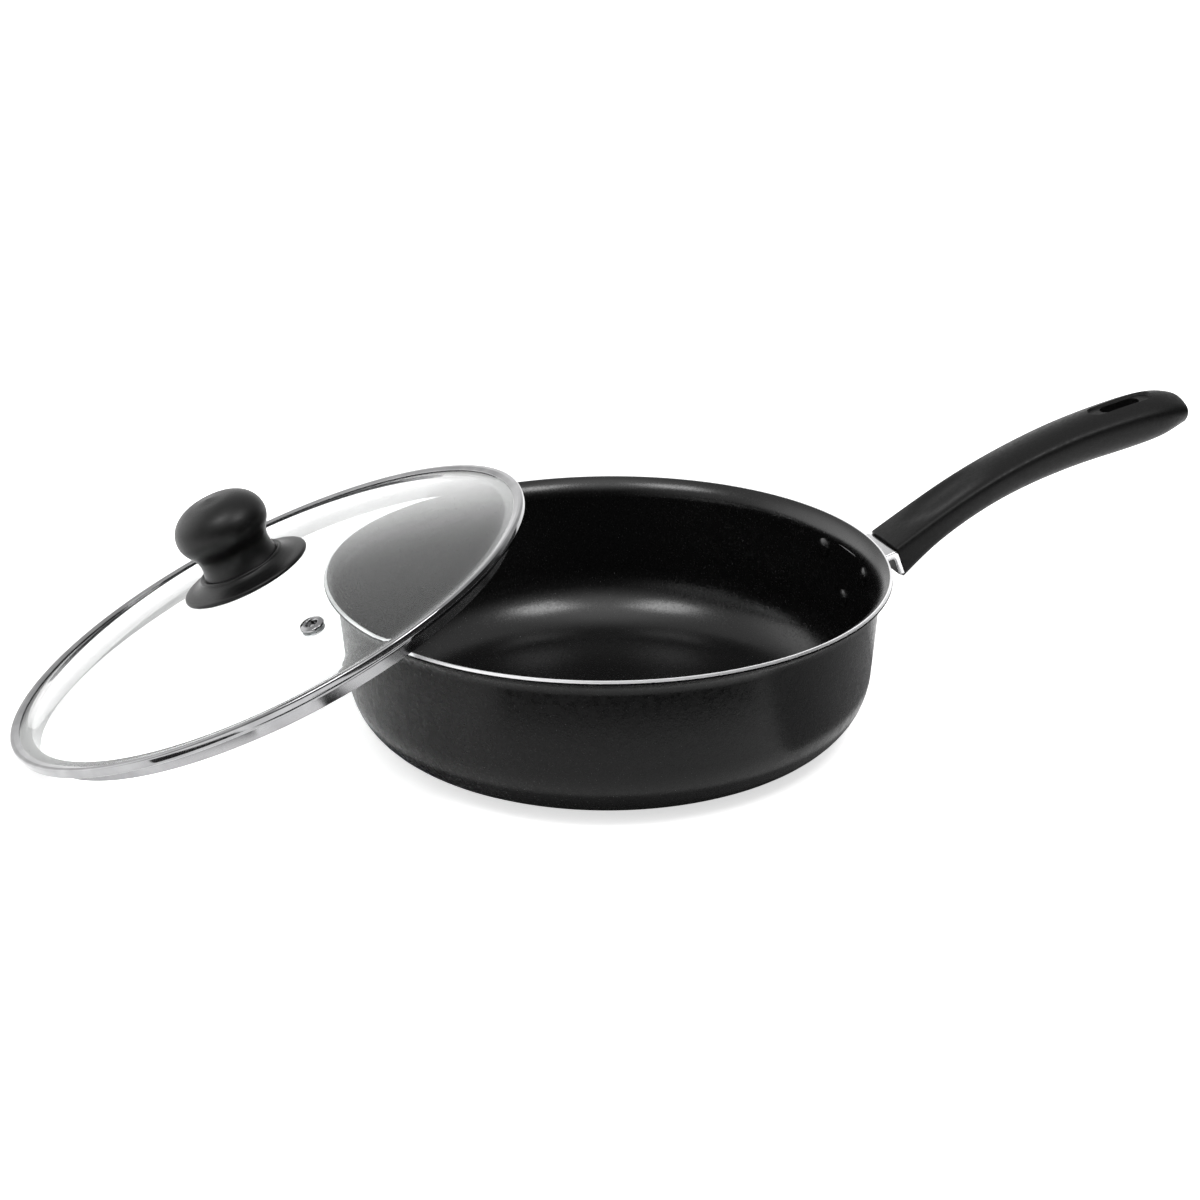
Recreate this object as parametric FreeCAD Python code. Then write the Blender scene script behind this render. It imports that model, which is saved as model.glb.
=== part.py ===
import FreeCAD, Part
import math
import os

# A 26 cm low saucepan with a riveted handle, and its glass lid leaning on the rim.
# Millimetres. Origin: centre of the flat base, on the table. +Z up, +X along the handle.

# ---- pan shell, pressed from sheet ----
PAN_HEIGHT = 75.6
RIM_RADIUS = 130.0
THROAT_RADIUS = 124.3          # outside of the wall where the rim's flare starts
WALL_DRAFT = 4.5               # degrees that the wall leans outwards
FLARE_ANGLE = 68.0             # degrees from upright at the cut edge
CORNER_RADIUS = 31.5           # outside radius from base to wall
SHEET = 2.0

# ---- handle bracket and its rivets ----
BRACKET_SHEET = 2.6
BRACKET_HALF_WIDTH = 14.0
PLATE_HALF_WIDTH = 28.5        # wall plate, at its top
PLATE_TOP = 66.6
PLATE_BOTTOM = 34.0
PLATE_TOE_HALF_WIDTH = 9.0
PLATE_SHOULDER = 52.6          # height where its sides start to run in to the toe
PLATE_CORNER_RADIUS = 4.0
BEND_RADIUS = 2.4              # how far the bend from bridge to front plate reaches
BRIDGE_DROP = 0.6              # top of the bend, below the grip's ridge
RIVET_SHANK_RADIUS = 2.4
RIVET_HEAD_RADIUS = 4.4
RIVET_HEAD_HEIGHT = 1.8
RIVET_HEAD_ROOT = 0.5          # how far a head's solid starts inside the sheet, before it is cut back
UPPER_RIVET_Z = 61.0
UPPER_RIVET_Y = 21.5
LOWER_RIVET_Z = 42.0
BRIDGE_WALL_Z = 63.4           # top of the bridge where it leaves the wall plate
GUARD_DROP = 13.6              # how far the bracket's front plate reaches down
TONGUE_SLOPE = 30.0
TONGUE_LENGTH = 36.0
TONGUE_HALF_WIDTH = 6.0
TONGUE_THICKNESS = 3.0

# ---- handle grip: stations from the pan end to the tip ----
# ridge (x, z), keel (x, z), half width, keel half width, crown
GRIP_STATIONS = [
    ((143.4, 70.2), (147.2, 53.0), 14.0, 12.6, 0.5),
    ((158.0, 78.8), (165.0, 66.9), 13.6, 11.0, 1.2),
    ((180.0, 90.6), (187.5, 78.9), 13.2, 9.0, 2.2),
    ((205.0, 101.6), (211.5, 88.0), 13.0, 8.0, 3.0),
    ((235.0, 111.5), (240.0, 95.6), 13.4, 8.0, 3.9),
    ((265.0, 117.8), (268.5, 100.8), 14.2, 8.4, 5.2),
    ((285.0, 120.2), (286.5, 104.8), 14.2, 8.2, 6.0),
    ((297.0, 119.6), (297.6, 109.2), 11.4, 6.4, 5.0),
    ((303.8, 116.0), (304.0, 111.8), 5.0, 2.8, 2.2),
]
# shares of the grip's depth, and of the difference between its half widths
KEEL_ROUNDING = 0.10
BELLY_HEIGHT = 0.42
BELLY_TUCK = 0.14
SLOT_CENTRE_X = 267.0
SLOT_SLOPE = 10.5              # degrees that the handle's top rises there
SLOT_HALF_LENGTH = 10.5
SLOT_HALF_WIDTH = 4.0
SLOT_REACH = 40.0              # how far its cutter stands above and below the grip's top
RECESS_HALF_LENGTH = 17.5
RECESS_HALF_WIDTH = 6.0
RECESS_DEPTH = 2.0
POCKET_GAP = 0.3

# ---- handle screw, entering from the keel ----
SCREW_STATION = 21.0           # along the tongue from the front plate
SCREW_RADIUS = 2.5
SCREW_HOLE_RADIUS = 2.8
SCREW_HEAD_RADIUS = 4.5
SCREW_HEAD_HEIGHT = 2.8
SCREW_WASHER_RADIUS = 4.8
SCREW_WASHER_THICKNESS = 0.8
HEAD_SEAT = -4.0               # washer face, below the tongue's middle
NUT_HALF_WIDTH = 4.0
NUT_HEIGHT = 3.2
SCREW_TIP = 0.4                # how far the screw stands out of the nut
SCREW_TIP_ROOM = 0.6
HEAD_ROOM = 16.0               # length of the bore that the screw's head goes up

# ---- lid, in its own frame: origin on its axis, near the plane of its widest ring ----
LID_RADIUS = 130.1
BAND_SHEET = 0.6
BAND_TOP = 2.6                 # top of the band's lip
BAND_LIP_RADIUS = 125.4        # where the glass comes out of the steel band
BAND_EDGE_ROUNDING = 1.7       # how far in the band's round edge starts
BAND_BEND_RADIUS = 0.8         # inside radius of the bend from flange to skirt
SKIRT_RADIUS = 119.8
SKIRT_DEPTH = 9.6
GLASS_THICKNESS = 3.2
GLASS_RADIUS = 128.6
GLASS_RIM_TOP = BAND_TOP - BAND_SHEET
GLASS_RIM_LOW = GLASS_RIM_TOP - GLASS_THICKNESS
FLANGE_LOW = GLASS_RIM_LOW - BAND_SHEET
DOME_FOOT_RADIUS = 121.5
DOME_TOP = 21.5                # outside of the glass at its centre
GLASS_HOLE_RADIUS = 4.0

VENT_RADIUS_FROM_AXIS = 83.7
VENT_ANGLE = -65.7             # degrees round the lid, from the uphill side
VENT_HOLE_RADIUS = 3.6
VENT_TUBE_RADIUS = 3.4
VENT_BORE_RADIUS = 2.5
VENT_FLANGE_RADIUS = 5.5
VENT_FLANGE_THICKNESS = 1.3
VENT_WASHER_RADIUS = 5.1
VENT_WASHER_THICKNESS = 0.7
VENT_LIFT = 0.12               # the curved glass keeps the flat flange and washer this far off
VENT_ROLL = 0.9                # rolled lower edge: how far it stands out, and its thickness
VENT_ROLL_THICKNESS = 0.5

# ---- knob and the stack that holds it ----
GASKET_THICKNESS = 1.0
UPPER_GASKET_RADIUS = 10.0
LOWER_GASKET_RADIUS = 9.0
KNOB_WASHER_RADIUS = 8.0
KNOB_WASHER_THICKNESS = 1.2
KNOB_SCREW_RADIUS = 2.5
KNOB_SCREW_HEAD_RADIUS = 5.2
KNOB_SCREW_HEAD_HEIGHT = 3.0
KNOB_SCREW_REACH = 37.0        # height of the screw's tip
KNOB_SCREW_PLAY = 0.3
BRIM_RADIUS = 30.5
BRIM_EDGE_HEIGHT = 22.4
BRIM_SEAT_RADIUS = 11.5        # flat under the brim that presses on the gasket
COLLAR_RADIUS = 20.4           # raised ring round the head's foot
COLLAR_TOP = 27.9
NECK_FOOT_RADIUS = 18.0
NECK_FOOT_HEIGHT = 27.4        # joint between the brim piece and the head
NECK_RADIUS = 16.9
NECK_HEIGHT = 33.5
HEAD_RADIUS = 21.9
HEAD_HEIGHT = 46.5             # height of the head's widest ring
SHOULDER_RADIUS = 19.9         # where the head's side meets its domed top
SHOULDER_HEIGHT = 52.4
KNOB_TOP = 61.2
INSERT_RADIUS = 4.2
INSERT_TOP = 40.0

# ---- how the lid leans ----
LEAN_AZIMUTH = 161.3           # degrees from +X, the way the lid leans out from the pan
LEAN_TILT = 23.34              # degrees from level
LEAN_DISTANCE = 157.3          # from the pan's axis to the lid's centre, in plan
TABLE_GAP = 0.2

UP = FreeCAD.Vector(0, 0, 1)
ZERO = FreeCAD.Vector(0, 0, 0)


def rad(degrees):
    return math.radians(degrees)


def in_xz(point):
    return FreeCAD.Vector(point[0], 0, point[1])


def outline(start, *steps):
    """Closed wire in the XZ plane. A step is an end point, or (middle, end) for an arc."""
    edges = []
    here = start
    for step in steps:
        if isinstance(step[0], tuple):
            middle, end = step
            edges.append(Part.Arc(in_xz(here), in_xz(middle), in_xz(end)).toShape())
        else:
            end = step
            edges.append(Part.LineSegment(in_xz(here), in_xz(end)).toShape())
        here = end
    if here != start:
        edges.append(Part.LineSegment(in_xz(here), in_xz(start)).toShape())
    return Part.Wire(edges)


def turned(start, *steps):
    """Solid turned about Z from a profile of (radius, z) points."""
    return Part.Face(outline(start, *steps)).revolve(ZERO, UP, 360)


def ring(outer, inner, low, high):
    return turned((inner, low), (outer, low), (outer, high), (inner, high))


def across(start, *steps, half_width):
    """Solid of an XZ profile, standing half_width to each side of the XZ plane."""
    face = Part.Face(outline(start, *steps))
    face.translate(FreeCAD.Vector(0, -half_width, 0))
    return face.extrude(FreeCAD.Vector(0, 2 * half_width, 0))


def polar(centre, radius, degrees):
    """Point of a profile at an angle from its +X direction."""
    return (centre[0] + radius * math.cos(rad(degrees)), centre[1] + radius * math.sin(rad(degrees)))


def cap_middle(radius, low, top):
    """Middle point of the arc from (radius, low) up to (0, top), centred on the axis."""
    rise = top - low
    sphere = (radius ** 2 + rise ** 2) / (2 * rise)
    half = radius / 2
    return (half, top - sphere + math.sqrt(sphere ** 2 - half ** 2))


def along(origin, axis, length, radius):
    return Part.makeCylinder(radius, length, origin, axis)


# ---- pan ----

def pan_section():
    """Named points and centres of the shell's profile, worked out from the driving sizes."""
    lean = rad(WALL_DRAFT)
    flare_radius = (RIM_RADIUS - THROAT_RADIUS) / (math.cos(lean) - math.cos(rad(FLARE_ANGLE)))
    flare_centre_z = PAN_HEIGHT - (flare_radius + SHEET) * math.sin(rad(FLARE_ANGLE))
    flare_centre = (THROAT_RADIUS + flare_radius * math.cos(lean), flare_centre_z)
    throat_z = flare_centre_z + flare_radius * math.sin(lean)
    reach = (CORNER_RADIUS + (throat_z - CORNER_RADIUS) * math.sin(lean)) / math.cos(lean)
    corner_centre = (THROAT_RADIUS - reach, CORNER_RADIUS)
    return flare_centre, flare_radius, corner_centre


def shell_side(offset):
    """One side of the sheet, from base to rim: offset 0 is outside, SHEET is inside."""
    flare_centre, flare_radius, corner_centre = pan_section()
    corner = CORNER_RADIUS - offset
    flare = flare_radius + offset
    middle_flare = (WALL_DRAFT + FLARE_ANGLE) / 2
    return {
        "base": (corner_centre[0], offset),
        "corner": polar(corner_centre, corner, -45 - WALL_DRAFT / 2),
        "wall_foot": polar(corner_centre, corner, -WALL_DRAFT),
        "throat": polar(flare_centre, flare, 180 - WALL_DRAFT),
        "flare": polar(flare_centre, flare, 180 - middle_flare),
        "lip": polar(flare_centre, flare, 180 - FLARE_ANGLE),
    }


def make_pan_shell():
    out = shell_side(0)
    inn = shell_side(SHEET)
    shell = turned(
        (0, 0), out["base"], (out["corner"], out["wall_foot"]), out["throat"], (out["flare"], out["lip"]),
        inn["lip"], (inn["flare"], inn["throat"]), inn["wall_foot"], (inn["corner"], inn["base"]), (0, SHEET))
    for place in rivet_places():
        shell = shell.cut(rivet_shank(place))
    return shell


def wall_radius(z):
    """Outside radius of the straight part of the wall."""
    out = shell_side(0)
    foot = out["wall_foot"]
    return foot[0] + (z - foot[1]) * math.tan(rad(WALL_DRAFT))


# ---- rivets ----

def rivet_places():
    return [(UPPER_RIVET_Y, UPPER_RIVET_Z), (-UPPER_RIVET_Y, UPPER_RIVET_Z), (0, LOWER_RIVET_Z)]


def rivet_axis(place):
    """Point on the wall's outside and the outward direction there."""
    y, z = place
    radius = wall_radius(z)
    turn = math.asin(y / radius)
    lean = rad(WALL_DRAFT)
    outward = FreeCAD.Rotation(UP, math.degrees(turn)).multVec(in_xz((math.cos(lean), -math.sin(lean))))
    return FreeCAD.Vector(radius * math.cos(turn), y, z), outward


def rivet_shank(place):
    point, outward = rivet_axis(place)
    return along(point - outward * (2 * SHEET), outward, 2 * SHEET + 2 * BRACKET_SHEET, RIVET_SHANK_RADIUS)


def dome(radius, height):
    """Low rivet head standing on Z = 0, with a short upright edge."""
    edge = height * 0.3
    return turned((0, 0), (radius, 0), (radius, edge), (cap_middle(radius, edge, height), (0, height)))


def make_rivet(place, shell, bracket):
    """Shank through wall and plate, with a domed head on each side."""
    point, outward = rivet_axis(place)
    root = RIVET_HEAD_ROOT
    length = SHEET + BRACKET_SHEET + 2 * root
    shank = along(point - outward * (SHEET + root), outward, length, RIVET_SHANK_RADIUS)
    inside = dome(RIVET_HEAD_RADIUS, RIVET_HEAD_HEIGHT + root)
    inside.Placement = FreeCAD.Placement(point - outward * (SHEET - root), FreeCAD.Rotation(UP, outward * -1))
    outside = dome(RIVET_HEAD_RADIUS, RIVET_HEAD_HEIGHT + root)
    seat = point + outward * (BRACKET_SHEET - root)
    outside.Placement = FreeCAD.Placement(seat, FreeCAD.Rotation(UP, outward))
    return shank.fuse([inside, outside]).cut(shell).cut(bracket).removeSplitter()


# ---- bracket ----

def front_plane():
    """Foot and head of the line where the grip meets the bracket, and the way out of the pan."""
    ridge, keel = GRIP_STATIONS[0][0], GRIP_STATIONS[0][1]
    length = math.dist(ridge, keel)
    up = ((ridge[0] - keel[0]) / length, (ridge[1] - keel[1]) / length)
    return ridge, up, (up[1], -up[0])


def tongue_frame():
    """Start of the tongue on the grip's front face, its direction and its upward normal."""
    ridge, up, _ = front_plane()
    drop = math.dist(GRIP_STATIONS[0][0], GRIP_STATIONS[0][1]) / 2
    start = FreeCAD.Vector(ridge[0] - up[0] * drop, 0, ridge[1] - up[1] * drop)
    slope = rad(TONGUE_SLOPE)
    direction = in_xz((math.cos(slope), math.sin(slope)))
    normal = in_xz((-math.sin(slope), math.cos(slope)))
    return start, direction, normal


def bar(start, direction, normal, length, half_width, half_height, back=0.0):
    """Rectangular bar about the line from start along direction."""
    side = FreeCAD.Vector(0, 1, 0)
    corner = start - direction * back - side * half_width - normal * half_height
    points = [corner, corner + side * (2 * half_width)]
    points += [points[1] + normal * (2 * half_height), corner + normal * (2 * half_height)]
    face = Part.Face(Part.makePolygon(points + [corner]))
    return face.extrude(direction * (length + back))


def make_wall_plate():
    """Rounded three-cornered plate that lies on the outside of the wall."""
    low, high = PLATE_BOTTOM - 2, PLATE_TOP + 2
    curved = turned(
        (wall_radius(low), low), (wall_radius(low) + BRACKET_SHEET, low),
        (wall_radius(high) + BRACKET_SHEET, high), (wall_radius(high), high))
    half, toe = PLATE_HALF_WIDTH, PLATE_TOE_HALF_WIDTH
    corners = [
        (-half, PLATE_TOP), (half, PLATE_TOP), (half, PLATE_SHOULDER),
        (toe, PLATE_BOTTOM), (-toe, PLATE_BOTTOM), (-half, PLATE_SHOULDER)]
    near, reach = wall_radius(low) * 0.8, 60
    points = [FreeCAD.Vector(near, y, z) for y, z in corners]
    prism = Part.Face(Part.makePolygon(points + points[:1])).extrude(FreeCAD.Vector(reach, 0, 0))
    long_edges = [edge for edge in prism.Edges if abs(edge.Length - reach) < 0.01]
    return curved.common(prism.makeFillet(PLATE_CORNER_RADIUS, long_edges))


def make_bracket(shell):
    """Wall plate, bridge, front plate and the tongue inside the grip, in one pressed piece."""
    ridge, up, out = front_plane()

    def beside(down, back):
        """Point a way down the front plane from the ridge, and back from it towards the pan."""
        return (ridge[0] - up[0] * down - out[0] * back, ridge[1] - up[1] * down - out[1] * back)

    t = BRACKET_SHEET
    top = beside(BRIDGE_DROP, 0)
    wall_top = (wall_radius(BRIDGE_WALL_Z), BRIDGE_WALL_Z)
    slope = math.atan2(top[1] - wall_top[1], top[0] - wall_top[0])
    start_bend = polar(top, -BEND_RADIUS, math.degrees(slope))
    end_bend = beside(BRIDGE_DROP + BEND_RADIUS, 0)
    middle_bend = tuple(0.3 * a + 0.3 * b + 0.4 * c for a, b, c in zip(start_bend, end_bend, top))
    inner_wall = (wall_top[0], wall_top[1] - t / math.cos(slope))
    bridge = across(
        wall_top, start_bend, (middle_bend, end_bend), beside(GUARD_DROP, 0), beside(GUARD_DROP, t),
        beside(BRIDGE_DROP + t + 1, t), inner_wall, half_width=BRACKET_HALF_WIDTH)
    start, direction, normal = tongue_frame()
    tongue = bar(start, direction, normal, TONGUE_LENGTH, TONGUE_HALF_WIDTH, TONGUE_THICKNESS / 2, back=t / 2)
    reach = 2 * TONGUE_THICKNESS
    hole = along(start + direction * SCREW_STATION - normal * reach, normal, 2 * reach, SCREW_HOLE_RADIUS)
    bracket = make_wall_plate().fuse([bridge, tongue]).cut([hole, shell])
    for place in rivet_places():
        bracket = bracket.cut(rivet_shank(place))
    return bracket.removeSplitter()


# ---- grip ----

def grip_section(station):
    """Wire across the grip: crowned top, straight-ish sides, round keel."""
    ridge, keel, half, keel_half, crown = station
    depth = math.dist(ridge, keel)
    up = ((ridge[0] - keel[0]) / depth, (ridge[1] - keel[1]) / depth)

    def at(y, height):
        return FreeCAD.Vector(keel[0] + up[0] * height, y, keel[1] + up[1] * height)

    bilge = depth * KEEL_ROUNDING
    belly_height = depth * BELLY_HEIGHT
    belly = half - BELLY_TUCK * (half - keel_half)
    edges = [
        Part.Arc(at(half, depth), at(0, depth + crown), at(-half, depth)),
        Part.Arc(at(-half, depth), at(-belly, belly_height), at(-keel_half, bilge)),
        Part.Arc(at(-keel_half, bilge), at(0, 0), at(keel_half, bilge)),
        Part.Arc(at(keel_half, bilge), at(belly, belly_height), at(half, depth)),
    ]
    return Part.Wire([edge.toShape() for edge in edges])


def stadium(half_length, half_width, low, high):
    """Slot-shaped prism along X, between two heights."""
    straight = half_length - half_width
    body = Part.makeBox(2 * straight, 2 * half_width, high - low, FreeCAD.Vector(-straight, -half_width, low))
    ends = []
    for x in (-straight, straight):
        ends.append(Part.makeCylinder(half_width, high - low, FreeCAD.Vector(x, 0, low)))
    return body.fuse(ends).removeSplitter()


def slot_placement():
    """Middle of the hanging slot on the grip's top, tilted with the grip."""
    ahead = [s for s in GRIP_STATIONS if s[0][0] > SLOT_CENTRE_X][0]
    behind = [s for s in GRIP_STATIONS if s[0][0] <= SLOT_CENTRE_X][-1]
    share = (SLOT_CENTRE_X - behind[0][0]) / (ahead[0][0] - behind[0][0])
    height = behind[0][1] + share * (ahead[0][1] - behind[0][1]) + behind[4] + share * (ahead[4] - behind[4])
    return FreeCAD.Placement(
        FreeCAD.Vector(SLOT_CENTRE_X, 0, height), FreeCAD.Rotation(FreeCAD.Vector(0, 1, 0), -SLOT_SLOPE))


def make_grip():
    grip = Part.makeLoft([grip_section(station) for station in GRIP_STATIONS], True, False)
    slot = stadium(SLOT_HALF_LENGTH, SLOT_HALF_WIDTH, -SLOT_REACH, SLOT_REACH)
    recess = stadium(RECESS_HALF_LENGTH, RECESS_HALF_WIDTH, -RECESS_DEPTH, SLOT_REACH)
    slot.Placement = slot_placement()
    recess.Placement = slot_placement()
    start, direction, normal = tongue_frame()
    pocket = bar(start, direction, normal, TONGUE_LENGTH + POCKET_GAP, TONGUE_HALF_WIDTH + POCKET_GAP,
                 TONGUE_THICKNESS / 2 + POCKET_GAP, back=5)
    middle = start + direction * SCREW_STATION
    nut_top = TONGUE_THICKNESS / 2 + NUT_HEIGHT
    nut_room = bar(middle, normal, direction, nut_top, NUT_HALF_WIDTH, NUT_HALF_WIDTH)
    shank_room = along(middle + normal * HEAD_SEAT, normal, -HEAD_SEAT, SCREW_HOLE_RADIUS)
    shank_tip_room = along(middle, normal, nut_top + SCREW_TIP_ROOM, SCREW_RADIUS)
    head_room = along(middle + normal * HEAD_SEAT, normal * -1, HEAD_ROOM, SCREW_WASHER_RADIUS + POCKET_GAP)
    return grip.cut([slot, recess, pocket, nut_room, shank_room, shank_tip_room, head_room]).removeSplitter()


def make_handle_fasteners():
    """Screw from the keel, its washer, and the square nut that sits on the tongue."""
    start, direction, normal = tongue_frame()
    middle = start + direction * SCREW_STATION
    seat = middle + normal * HEAD_SEAT
    washer_low = seat - normal * SCREW_WASHER_THICKNESS
    washer = along(washer_low, normal, SCREW_WASHER_THICKNESS, SCREW_WASHER_RADIUS)
    washer = washer.cut(along(washer_low, normal, SCREW_WASHER_THICKNESS, SCREW_RADIUS))
    nut_low = TONGUE_THICKNESS / 2
    tip = nut_low + NUT_HEIGHT + SCREW_TIP
    shank = along(washer_low, normal, tip - HEAD_SEAT + SCREW_WASHER_THICKNESS, SCREW_RADIUS)
    head = dome(SCREW_HEAD_RADIUS, SCREW_HEAD_HEIGHT)
    head.Placement = FreeCAD.Placement(washer_low, FreeCAD.Rotation(UP, normal * -1))
    recess = cross_recess(washer_low - normal * SCREW_HEAD_HEIGHT, normal)
    screw = shank.fuse(head).cut(recess).removeSplitter()
    nut = bar(middle + normal * nut_low, normal, direction, NUT_HEIGHT, NUT_HALF_WIDTH, NUT_HALF_WIDTH)
    nut = nut.cut(along(middle, normal, 2 * tip, SCREW_RADIUS))
    return {"handle_screw": screw, "handle_washer": washer, "handle_nut": nut}


def cross_recess(tip, inward, span=4.6):
    """Cross-shaped driver recess, sunk into a screw head from its tip."""
    width, depth = 1.1, 1.6
    slots = [Part.makeBox(span, width, depth, FreeCAD.Vector(-span / 2, -width / 2, 0))]
    slots.append(Part.makeBox(width, span, depth, FreeCAD.Vector(-width / 2, -span / 2, 0)))
    cross = slots[0].fuse(slots[1])
    cross.Placement = FreeCAD.Placement(tip, FreeCAD.Rotation(UP, inward))
    return cross


# ---- lid, in its own frame ----

def dome_radius():
    rise = DOME_TOP - GLASS_RIM_TOP
    return (DOME_FOOT_RADIUS ** 2 + rise ** 2) / (2 * rise)


def glass_height(radius):
    """Height of the glass's outside at a radius."""
    sphere = dome_radius()
    return DOME_TOP - sphere + math.sqrt(sphere ** 2 - radius ** 2)


def make_lid_glass():
    """Dome with a flat rim, a hole for the knob screw and one for the vent."""
    low, high = GLASS_RIM_LOW, GLASS_RIM_TOP
    half = DOME_FOOT_RADIUS / 2
    middle = (half, glass_height(half))
    under_middle = (half, middle[1] - GLASS_THICKNESS)
    glass = turned(
        (0, DOME_TOP), (middle, (DOME_FOOT_RADIUS, high)), (GLASS_RADIUS, high), (GLASS_RADIUS, low),
        (DOME_FOOT_RADIUS, low), (under_middle, (0, DOME_TOP - GLASS_THICKNESS)))
    knob_hole = along(ZERO, UP, 2 * DOME_TOP, GLASS_HOLE_RADIUS)
    reach = 2 * GLASS_THICKNESS
    vent_hole = along(FreeCAD.Vector(0, 0, -reach), UP, 2 * reach, VENT_HOLE_RADIUS)
    vent_hole.Placement = vent_placement()
    return glass.cut([knob_hole, vent_hole])


def make_rim_band():
    """Rolled steel strip: lip over the glass, round edge, flange under it and a skirt below."""
    t = BAND_SHEET
    low, top = FLANGE_LOW, BAND_TOP
    knee = SKIRT_RADIUS
    bend = BAND_BEND_RADIUS
    inner_bend = bend + t
    bend_centre = (knee + bend, low - bend)
    turn_in = LID_RADIUS - BAND_EDGE_ROUNDING
    return turned(
        (knee - t, -SKIRT_DEPTH), (knee, -SKIRT_DEPTH), (knee, low - bend),
        (polar(bend_centre, bend, 135), (knee + bend, low)), (turn_in, low),
        ((LID_RADIUS, (low + top) / 2), (turn_in, top)), (BAND_LIP_RADIUS, top),
        (BAND_LIP_RADIUS, GLASS_RIM_TOP), (GLASS_RADIUS, GLASS_RIM_TOP),
        (GLASS_RADIUS, GLASS_RIM_LOW), (knee + bend, low + t),
        (polar(bend_centre, inner_bend, 135), (knee - t, low - bend)))


def vent_placement():
    """Frame of the vent: origin on the glass's outside, Z along the glass's normal."""
    turn = rad(VENT_ANGLE)
    place = FreeCAD.Vector(
        VENT_RADIUS_FROM_AXIS * math.cos(turn), VENT_RADIUS_FROM_AXIS * math.sin(turn),
        glass_height(VENT_RADIUS_FROM_AXIS))
    normal = place - FreeCAD.Vector(0, 0, DOME_TOP - dome_radius())
    return FreeCAD.Placement(place, FreeCAD.Rotation(UP, normal))


def make_vent():
    """Eyelet through the glass and the washer that its lower edge is rolled onto."""
    flange, bore, tube = VENT_FLANGE_RADIUS, VENT_BORE_RADIUS, VENT_TUBE_RADIUS
    lift = VENT_LIFT
    low = -GLASS_THICKNESS - VENT_WASHER_THICKNESS - VENT_LIFT
    rolled, rolled_low = tube + VENT_ROLL, low - VENT_ROLL_THICKNESS
    top = lift + VENT_FLANGE_THICKNESS
    crest = (flange + bore) / 2
    eyelet = turned(
        (bore, rolled_low), (rolled, rolled_low), (rolled, low), (tube, low), (tube, lift), (flange, lift),
        (((flange + crest) / 2, top - 0.2), (crest, top)), ((bore + 0.3, top - 0.3), (bore, lift)))
    washer = ring(VENT_WASHER_RADIUS, tube, low, low + VENT_WASHER_THICKNESS)
    eyelet.Placement = vent_placement()
    washer.Placement = vent_placement()
    return {"vent_eyelet": eyelet, "vent_washer": washer}


def make_knob(glass):
    """Knob head and brim piece, and the stack of fastenings through the glass."""
    under = DOME_TOP - GLASS_THICKNESS
    seat = DOME_TOP + GASKET_THICKNESS
    gasket_low = under - GASKET_THICKNESS
    washer_low = gasket_low - KNOB_WASHER_THICKNESS
    bore = KNOB_SCREW_RADIUS
    loose = bore + KNOB_SCREW_PLAY
    edge = (BRIM_RADIUS, BRIM_EDGE_HEIGHT)
    brim = turned(
        (loose, seat), (BRIM_SEAT_RADIUS, seat), (edge[0] - 1.2, edge[1] - 1.2),
        (edge, (edge[0] - 1.3, edge[1] + 1.1)),
        ((edge[0] - 6.5, edge[1] + 2.1), (COLLAR_RADIUS + 0.4, COLLAR_TOP - 1.3)),
        ((COLLAR_RADIUS, COLLAR_TOP - 0.4), (COLLAR_RADIUS - 0.9, COLLAR_TOP)),
        (NECK_FOOT_RADIUS + 0.3, NECK_FOOT_HEIGHT), (loose, NECK_FOOT_HEIGHT))
    head = turned(
        (INSERT_RADIUS, NECK_FOOT_HEIGHT), (NECK_FOOT_RADIUS, NECK_FOOT_HEIGHT),
        ((NECK_RADIUS + 0.2, (NECK_FOOT_HEIGHT + NECK_HEIGHT) / 2), (NECK_RADIUS, NECK_HEIGHT)),
        ((NECK_RADIUS + 1.5, NECK_HEIGHT + 4.5), (HEAD_RADIUS - 1.2, HEAD_HEIGHT - 4.7)),
        ((HEAD_RADIUS, HEAD_HEIGHT), (SHOULDER_RADIUS, SHOULDER_HEIGHT)),
        (cap_middle(SHOULDER_RADIUS, SHOULDER_HEIGHT, KNOB_TOP), (0, KNOB_TOP)),
        (0, INSERT_TOP), (INSERT_RADIUS, INSERT_TOP))
    tip = KNOB_SCREW_REACH
    insert = turned(
        (bore, NECK_FOOT_HEIGHT), (INSERT_RADIUS, NECK_FOOT_HEIGHT), (INSERT_RADIUS, INSERT_TOP),
        (0, INSERT_TOP), (0, tip), (bore, tip))
    shank = along(FreeCAD.Vector(0, 0, washer_low), UP, tip - washer_low, bore)
    screw_head = dome(KNOB_SCREW_HEAD_RADIUS, KNOB_SCREW_HEAD_HEIGHT)
    screw_head.Placement = FreeCAD.Placement(FreeCAD.Vector(0, 0, washer_low), FreeCAD.Rotation(UP, UP * -1))
    screw = shank.fuse(screw_head)
    screw = screw.cut(cross_recess(FreeCAD.Vector(0, 0, washer_low - KNOB_SCREW_HEAD_HEIGHT), UP, span=5.4))
    return {
        "knob_head": head,
        "knob_base": brim,
        "knob_insert": insert,
        "knob_screw": screw.removeSplitter(),
        "knob_washer": ring(KNOB_WASHER_RADIUS, bore, washer_low, gasket_low),
        "knob_gasket_lower": ring(LOWER_GASKET_RADIUS, bore, gasket_low, under).cut(glass),
        "knob_gasket_upper": ring(UPPER_GASKET_RADIUS, bore + 0.5, DOME_TOP, seat),
    }


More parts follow.
